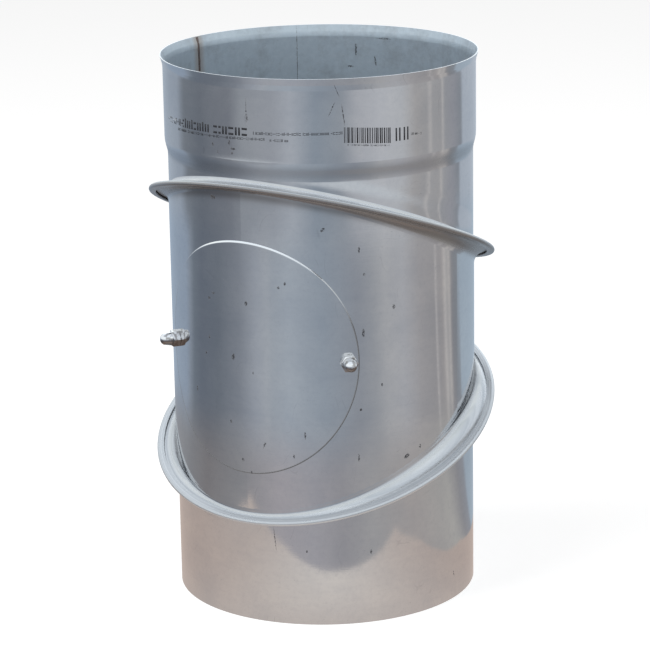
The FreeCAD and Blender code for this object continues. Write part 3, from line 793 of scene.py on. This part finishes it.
def weld_metal():
    """The weld's bead: dull brown heat scale over steel, greyer in patches along it."""
    material, tree, bead = plain_material("weld_metal")
    point = tree.point()
    scale = tree.noise(point, 500.0, 4.0, 0.65)
    along = tree.noise(tree.scaled(point, (1, 1, 0.25)), 160.0, 2.0)
    colour = tree.mix(tree.remap(scale, 0.38, 0.66),
                      (0.115, 0.085, 0.080, 1), (0.235, 0.185, 0.165, 1))
    colour = tree.mix(tree.remap(along, 0.50, 0.68, 0.0, 0.5), colour, (0.17, 0.15, 0.17, 1))
    tree.plug(bead.inputs["Base Color"], colour)
    tree.plug(bead.inputs["Roughness"], tree.remap(scale, 0.35, 0.68, 0.34, 0.55))
    tree.plug(bead.inputs["Metallic"], tree.remap(scale, 0.35, 0.65, 0.55, 0.9))
    add_bump(tree, bead, tree.maths("MULTIPLY", scale, 0.00003))
    return material


def worn_ink():
    """Black marking ink on steel, thin in places, and rubbed on its left end."""
    material, tree, ink = plain_material("marking_ink")
    point = tree.point()
    grain = tree.noise(point, 1500.0, 3.0, 0.6)
    blotch = tree.noise(point, 260.0, 3.0, 0.6)
    rubbed = tree.remap(wall_angle(tree, point), -24.0, -36.0, 0.0, 0.22)
    thin = total(tree, (grain, 0.5), (blotch, 0.5))
    bare = tree.remap(tree.maths("ADD", thin, rubbed), 0.64, 0.74)
    colour = tree.mix(bare, (0.022, 0.022, 0.028, 1), (0.50, 0.51, 0.54, 1))
    tree.plug(ink.inputs["Base Color"], colour)
    tree.plug(ink.inputs["Metallic"], bare)
    tree.plug(ink.inputs["Roughness"], tree.remap(bare, 0.0, 1.0, 0.42, 0.12))
    add_bump(tree, ink, tree.maths("MULTIPLY", grain, 0.000004))
    return material


def dress(node, material):
    mesh = nodes[node].data
    mesh.materials.clear()
    mesh.materials.append(material)


def wall_point(angle, reach, z):
    """A place at an angle in degrees from the cover's side, a radius and a height."""
    turn = math.radians(angle)
    return Vector((reach * math.sin(turn), -reach * math.cos(turn), z))


def add_piece(name, body, vertices, faces, material):
    piece = mesh_object(name, vertices, faces, material, smooth=True)
    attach(piece, body)
    return piece


def loops_to_faces(loops, count, ring=False):
    """Quads between rows of count points each, closed round every row. In a ring
    the last row meets the first.
    """
    faces = []
    for row in range(loops if ring else loops - 1):
        here, there = row * count, (row + 1) % loops * count
        for step in range(count):
            following = (step + 1) % count
            faces.append((here + step, here + following, there + following, there + step))
    return faces


def closed_faces(loops, count, turned=False):
    """The quads between rows and a face at each end, turned round to face outwards."""
    faces = loops_to_faces(loops, count)
    faces.append(tuple(range(count))[::-1])
    faces.append(tuple(range((loops - 1) * count, loops * count)))
    return [face[::-1] for face in faces] if turned else faces


def eased(share):
    """A share from 0 to 1 that starts and ends gently."""
    return share * share * (3 - 2 * share)


def cover_rows(share):
    """From the cover's middle over its bent rim to the middle of its back:
    distance on the flat blank, and radius from the flue's axis. The rim is bent
    over a share of its full width.
    """
    rim = [(2.4, 0.0), (2.1, 0.03), (1.8, 0.10), (1.4, 0.23), (1.0, 0.37), (0.6, 0.51),
           (0.3, 0.61), (0.1, 0.68), (0.02, 0.73), (0.0, 0.78)]
    flat = COVER_BLANK - rim[0][0] / 1000 * share
    rows = [(flat * step / 16, COVER_FACE) for step in range(1, 16)]
    rows.append((flat - 0.0002, COVER_FACE))
    for inset, drop in rim:
        rows.append((COVER_BLANK - inset / 1000 * share, COVER_FACE - drop / 1000))
    edge = COVER_BLANK - 0.0001
    return rows + [(edge * step / 12, COVER_BACK) for step in range(12, 0, -1)]


def make_cover(material):
    """The cleanout cover: a disc of sheet rolled to the pipe. Its rim is bent over,
    most of all on top.
    """
    count = 192
    turns = [2 * math.pi * step / count for step in range(count)]
    columns = [cover_rows(0.20 + 0.24 * max(0.0, math.sin(turn)) ** 4) for turn in turns]
    vertices = []
    for row in range(len(columns[0])):
        for turn, column in zip(turns, columns):
            reach, radius = column[row]
            angle = math.degrees(reach * math.cos(turn) / COVER_FACE)
            vertices.append(wall_point(angle, radius, COVER_HEIGHT + reach * math.sin(turn)))
    faces = closed_faces(len(columns[0]), count, turned=True)
    cover = add_piece("dished_cover", "middle", vertices, faces, material)
    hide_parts("access_cover")


def bend_radius(angle):
    """The lower flange's bend at an angle in degrees from the cover's side."""
    away = abs(angle)
    if away < 90:
        return FRONT_BEND + (SIDE_BEND - FRONT_BEND) * eased(min(1.0, WIDENING * away / 90))
    return BACK_BEND + (SIDE_BEND - BACK_BEND) * eased((180 - away) / 90)


def run_to_rim(start, outwards, axis):
    """How far the flange's flat part runs from the end of the bend to its round rim."""
    start = start - Vector((0, 0, LOWER_SEAM))
    start -= axis * start.dot(axis)
    along = start.dot(outwards)
    return math.sqrt(along * along - start.length_squared + FLANGE_RADIUS ** 2) - along


def flange_section(angle, axis):
    """Across the lower flange at one angle: down the wall, out to the rim and back inside."""
    radial = wall_point(angle, 1.0, 0.0)
    bend = bend_radius(angle)
    centre = radial * (MIDDLE_RADIUS + bend)
    centre.z = LOWER_SEAM + (FLANGE_TOP + bend - centre.dot(axis)) / axis.z
    turn = radial.angle(axis)
    shares = [step / BEND_STEPS for step in range(BEND_STEPS + 1)]
    arc = [(radial * math.sin((1 - share) * turn) + axis * math.sin(share * turn)) / math.sin(turn)
           for share in shares]
    outer = [centre - aim * (bend - SKIN) for aim in arc]
    inner = [centre - aim * (bend + WALL - SKIN) for aim in arc]
    outwards = (radial - axis * radial.dot(axis)).normalized()
    rim = outer[-1] + outwards * (run_to_rim(outer[-1], outwards, axis) - SKIN)
    under_rim = rim - axis * (WALL - 2 * SKIN)
    back = eased(min(1.0, max(0.0, (abs(angle) - BACK_START) / BACK_EASE)))
    run = Vector((0, 0, FRONT_RUN + (BACK_RUN - FRONT_RUN) * back))
    top = outer[0] + run
    sunk = top - radial * (SKIN + SUNK) + Vector((0, 0, SINKING))
    return [sunk, top] + outer + [rim, under_rim] + inner[::-1] + [inner[0] + run]


def make_lower_flange(material):
    """The bend and flange at the middle segment's foot, held in the lower lock seam."""
    axis = Vector((0, -math.sin(SEAM_LEAN), math.cos(SEAM_LEAN)))
    count = 240
    sections = [flange_section(-180 + 360 * step / count, axis) for step in range(count)]
    vertices = [place for section in sections for place in section]
    faces = loops_to_faces(count, len(sections[0]), ring=True)
    flange = add_piece("middle_lower_flange", "middle", vertices, faces, material)
    flange.data.set_sharp_from_angle(angle=math.radians(35))


def seam_height(middle, side, y):
    """A seam plane's height over a place at y. Side is 1 where it rises towards +Y, else -1."""
    return middle + side * SEAM_SLOPE * y


def bead_section(inwards):
    """Across the bead: share of its half width, and rise over the wall. Its edges
    and its two last points lie below the wall's surface.
    """
    section = []
    for step in range(WELD_STEPS + 1):
        across = -1 + 2 * step / WELD_STEPS
        section.append((across, WELD_RISE * (1 - across * across) - 0.00006))
    section += [(0.9, -0.0003), (-0.9, -0.0003)]
    return [(across, -rise if inwards else rise) for across, rise in section]


def wall_radius(path, z):
    """The radius at a height, on a wall given as radius and height from point to point."""
    for (low_reach, low), (high_reach, high) in zip(path, path[1:]):
        if z <= high:
            break
    return low_reach + (high_reach - low_reach) * (z - low) / (high - low)


def make_bead(name, body, path, inwards, material):
    """One weld bead along a wall, with its ripples."""
    section = bead_section(inwards)
    length = path[-1][1] - path[0][1]
    rows = int(length / WELD_ROW)
    vertices = []
    for row in range(rows + 1):
        z = path[0][1] + length * row / rows
        reach = wall_radius(path, z)
        ripple = 1 + 0.20 * math.sin(z / 0.0011 * 2 * math.pi) + 0.10 * math.sin(z * 1730 + 1)
        sway = 0.00012 * math.sin(z * 310) + 0.00007 * math.sin(z * 1130 + 2)
        width = WELD_WIDTH / 2 * (1 + 0.05 * math.sin(z * 870))
        for point, (across, rise) in enumerate(section):
            lift = rise * ripple if 0 < point < WELD_STEPS else rise
            turn = WELD_ANGLE + math.degrees((across * width + sway) / reach)
            vertices.append(wall_point(turn, reach + lift, z))
    faces = closed_faces(rows + 1, len(section), turned=inwards)
    add_piece(name, body, vertices, faces, material)


def make_welds(material):
    """Each segment's sheet is closed by one long weld, seen outside and inside."""
    y = -MIDDLE_RADIUS * math.cos(math.radians(WELD_ANGLE))
    low, high = seam_height(LOWER_SEAM, 1, y), seam_height(UPPER_SEAM, -1, y)
    socket = [(UPPER_RADIUS, NECK_FOOT), (UPPER_RADIUS + 0.00022, NECK_FOOT + 0.0023),
              (SOCKET_RADIUS - 0.00022, NECK_TOP - 0.0022), (SOCKET_RADIUS, NECK_TOP),
              (SOCKET_RADIUS, FLARE_FOOT), (SOCKET_RADIUS + 0.0002, FLARE_FOOT + 0.0020),
              (SOCKET_RADIUS + 0.0016, TOTAL_HEIGHT - 0.0005)]
    walls = [("lower", [(LOWER_RADIUS, 0.0006), (LOWER_RADIUS, low - HEM_REACH)]),
             ("middle", [(MIDDLE_RADIUS, low + BEND_REACH), (MIDDLE_RADIUS, high - BEND_REACH)]),
             ("upper", [(UPPER_RADIUS, high + HEM_REACH)] + socket)]
    for body, path in walls:
        make_bead(body + "_weld_outside", body, path, False, material)
        inner = [(reach - WALL, z) for reach, z in path]
        make_bead(body + "_weld_inside", body, inner, True, material)


def print_patch(vertices, faces, left, right, low, high):
    """One printed bar, a thin closed shell on the socket's wall. Its sides are
    angles in degrees.
    """
    top, under = SOCKET_RADIUS + 0.00003, SOCKET_RADIUS - 0.00020
    columns = max(1, math.ceil((right - left) / 0.8))
    start = len(vertices)
    for column in range(columns + 1):
        turn = left + (right - left) * column / columns
        vertices += [wall_point(turn, top, low), wall_point(turn, top, high),
                     wall_point(turn, under, high), wall_point(turn, under, low)]
    for column in range(columns):
        here = start + 4 * column
        for side in range(4):
            following = (side + 1) % 4
            faces.append((here + side, here + 4 + side, here + 4 + following, here + following))
    last = start + 4 * columns
    faces += [(start, start + 1, start + 2, start + 3), (last + 3, last + 2, last + 1, last)]


def print_row(vertices, faces, start, end, left_z, right_z, size, seed, stroke=0.20, bold=False):
    """A row of plain bars and dashes, size metres tall, from angle to angle."""
    degree = math.degrees(1 / SOCKET_RADIUS)
    full = 0.84 * size
    thick = stroke * size
    bar = thick * degree
    turn = start
    number = seed
    while turn < end:
        number = (number * 73 + 41) % 101
        base = left_z + (right_z - left_z) * (turn - start) / (end - start)
        width = size * (0.30 + 0.32 * (number % 7) / 6) * degree
        kind = (0, 3, 1, 3)[number % 4] if bold else number % 4
        if kind == 0:
            patches = [(0, bar, 0, size)]
        elif kind == 1:
            patches = [(0, width, 0, thick), (0, width, full - thick, full)]
        elif kind == 2:
            patches = [(0, width, 0.35 * size, 0.35 * size + thick)]
        else:
            patches = [(0, bar, 0, full), (1.8 * bar, 2.8 * bar, 0, full)]
        for left, right, low, high in patches:
            print_patch(vertices, faces, turn + left, turn + right, base + low, base + high)
        turn += patches[-1][1] + size * 0.20 * degree
        if number % 11 == 3:
            turn += size * 0.45 * degree


def print_bars(vertices, faces, start, end, height):
    """A block of upright bars of changing width, whose foot sinks a little to the right."""
    turn, number = start, 3
    while turn < end:
        number = (number * 37 + 11) % 53
        base = 0.3176 - 0.0024 * (turn - start) / 17.2
        width = 0.16 + 0.09 * (number % 5)
        print_patch(vertices, faces, turn, turn + width, base, base + height)
        turn += width + 0.20 + 0.12 * (number % 3)


def make_print(material):
    """The socket's marking, as plain bars and dashes with no meaning."""
    vertices, faces = [], []
    print_row(vertices, faces, -43.0, -29.5, 0.3195, 0.3200, 0.0042, 5, stroke=0.22)
    print_row(vertices, faces, -28.5, 4.2, 0.3196, 0.3210, 0.0060, 17, stroke=0.22, bold=True)
    print_row(vertices, faces, -32.4, 10.5, 0.3166, 0.3188, 0.0017, 29)
    print_row(vertices, faces, 12.5, 19.6, 0.3184, 0.3184, 0.0017, 7)
    print_row(vertices, faces, 6.3, 38.0, 0.3222, 0.3230, 0.0019, 11)
    print_bars(vertices, faces, 38.8, 56.0, 0.0098)
    print_row(vertices, faces, 40.0, 55.4, 0.3158, 0.3134, 0.0011, 23)
    for left in (57.9, 59.3, 61.2, 62.6):
        print_patch(vertices, faces, left, left + 0.6, 0.3160, 0.3243)
    print_row(vertices, faces, 64.3, 68.9, 0.3186, 0.3180, 0.0015, 13)
    add_piece("socket_print", "upper", vertices, faces, material)


# Small dark marks and scratches: angle from the cover's side in degrees, height,
# the mark's width and length in metres, and its lean in degrees.
COVER_MARKS = [
    (-4.4, 0.1766, 0.0022, 0.0042, 10),
    (1.6, 0.2130, 0.0018, 0.0030, 0),
    (16.8, 0.2278, 0.0012, 0.0024, 0),
    (14.4, 0.2250, 0.0012, 0.0020, 0),
    (23.2, 0.1287, 0.0011, 0.0044, 0),
    (-1.2, 0.1088, 0.0016, 0.0020, 0),
    (2.3, 0.1007, 0.0012, 0.0034, 0),
    (-15.4, 0.2124, 0.0020, 0.0018, 0),
    (-13.2, 0.2163, 0.0022, 0.0013, 0),
    (-15.9, 0.1866, 0.0011, 0.0026, 0),
    (-17.9, 0.1753, 0.0014, 0.0018, 0),
    (-24.0, 0.1490, 0.0014, 0.0036, 0),
    (-6.1, 0.1333, 0.0012, 0.0026, 0),
    (7.8, 0.1206, 0.0013, 0.0038, 25),
    (19.0, 0.1144, 0.0009, 0.0026, 0),
    (3.9, 0.1678, 0.0009, 0.0018, 0),
]
MIDDLE_MARKS = [
    (61.8, 0.1092, 0.0034, 0.0030, 30),
    (67.9, 0.1139, 0.0014, 0.0026, 0),
    (-12.6, 0.2786, 0.0040, 0.0026, 0),
    (30.7, 0.2626, 0.0020, 0.0026, 30),
    (43.7, 0.2488, 0.0011, 0.0038, 0),
    (45.5, 0.2328, 0.0014, 0.0018, 0),
    (56.9, 0.2098, 0.0018, 0.0030, 0),
    (45.0, 0.1948, 0.0016, 0.0050, 0),
    (51.9, 0.1596, 0.0011, 0.0020, 0),
    (43.7, 0.1444, 0.0016, 0.0018, 0),
    (42.7, 0.1126, 0.0011, 0.0046, 0),
]
UPPER_MARKS = [
    (3.7, 0.3365, 0.0005, 0.0150, 0),
    (4.1, 0.3322, 0.0009, 0.0034, -12),
    (36.4, 0.3505, 0.0004, 0.0085, -22),
    (38.6, 0.3350, 0.0006, 0.0120, -8),
    (34.6, 0.3390, 0.0005, 0.0080, 25),
    (-11.0, 0.3133, 0.0014, 0.0022, 0),
    (-3.6, 0.3158, 0.0016, 0.0028, 0),
    (-2.0, 0.3119, 0.0030, 0.0016, 0),
    (-2.4, 0.3090, 0.0014, 0.0014, 0),
    (-8.7, 0.3087, 0.0011, 0.0016, 0),
    (103.8, 0.2712, 0.0005, 0.0120, 0),
    (-164.0, 0.3411, 0.0012, 0.0080, 0),
    (-171.9, 0.3338, 0.0012, 0.0060, 10),
    (-161.8, 0.3296, 0.0040, 0.0012, 20),
    (-175.5, 0.3494, 0.0100, 0.0007, 0),
    (-141.0, 0.3360, 0.0004, 0.0400, 0),
]
LOWER_MARKS = [
    (10.7, 0.0570, 0.0006, 0.0140, -6),
    (22.9, 0.0500, 0.0011, 0.0018, 0),
    (47.1, 0.0481, 0.0013, 0.0028, 0),
    (87.7, 0.0168, 0.0007, 0.0046, -15),
]
# The seams' planes: height on the flue's axis, and lean.
LOWER_PLANE = (LOWER_SEAM, SEAM_LEAN)
UPPER_PLANE = (UPPER_SEAM, -SEAM_LEAN)

make_camera()
stage_floor()
stage_ground()
stage_board()
stage_sky()
make_lights()

lower_sheet = sheet_steel("lower_sheet", 1, LOWER_MARKS, LOWER_RADIUS, [LOWER_PLANE])
middle_sheet = sheet_steel("middle_sheet", 2, MIDDLE_MARKS, MIDDLE_RADIUS,
                           [LOWER_PLANE, UPPER_PLANE], bend_reach=0.013)
upper_sheet = sheet_steel("upper_sheet", 3, UPPER_MARKS, UPPER_RADIUS, [UPPER_PLANE], neck=True)
cover_sheet = sheet_steel("cover_sheet", 4, COVER_MARKS, cover=True)
dress("lower_segment", lower_sheet)
dress("middle_segment", middle_sheet)
make_lower_flange(middle_sheet)
dress("upper_segment", upper_sheet)
dress("access_cover", cover_sheet)
make_cover(cover_sheet)
make_welds(weld_metal())
make_print(worn_ink())
studs = turned_steel()
nuts = polished_steel()
for side in ("left", "right"):
    dress(side + "_stud", studs)
    dress(side + "_cap_nut", nuts)

bpy.context.scene.view_settings.view_transform = "Standard"
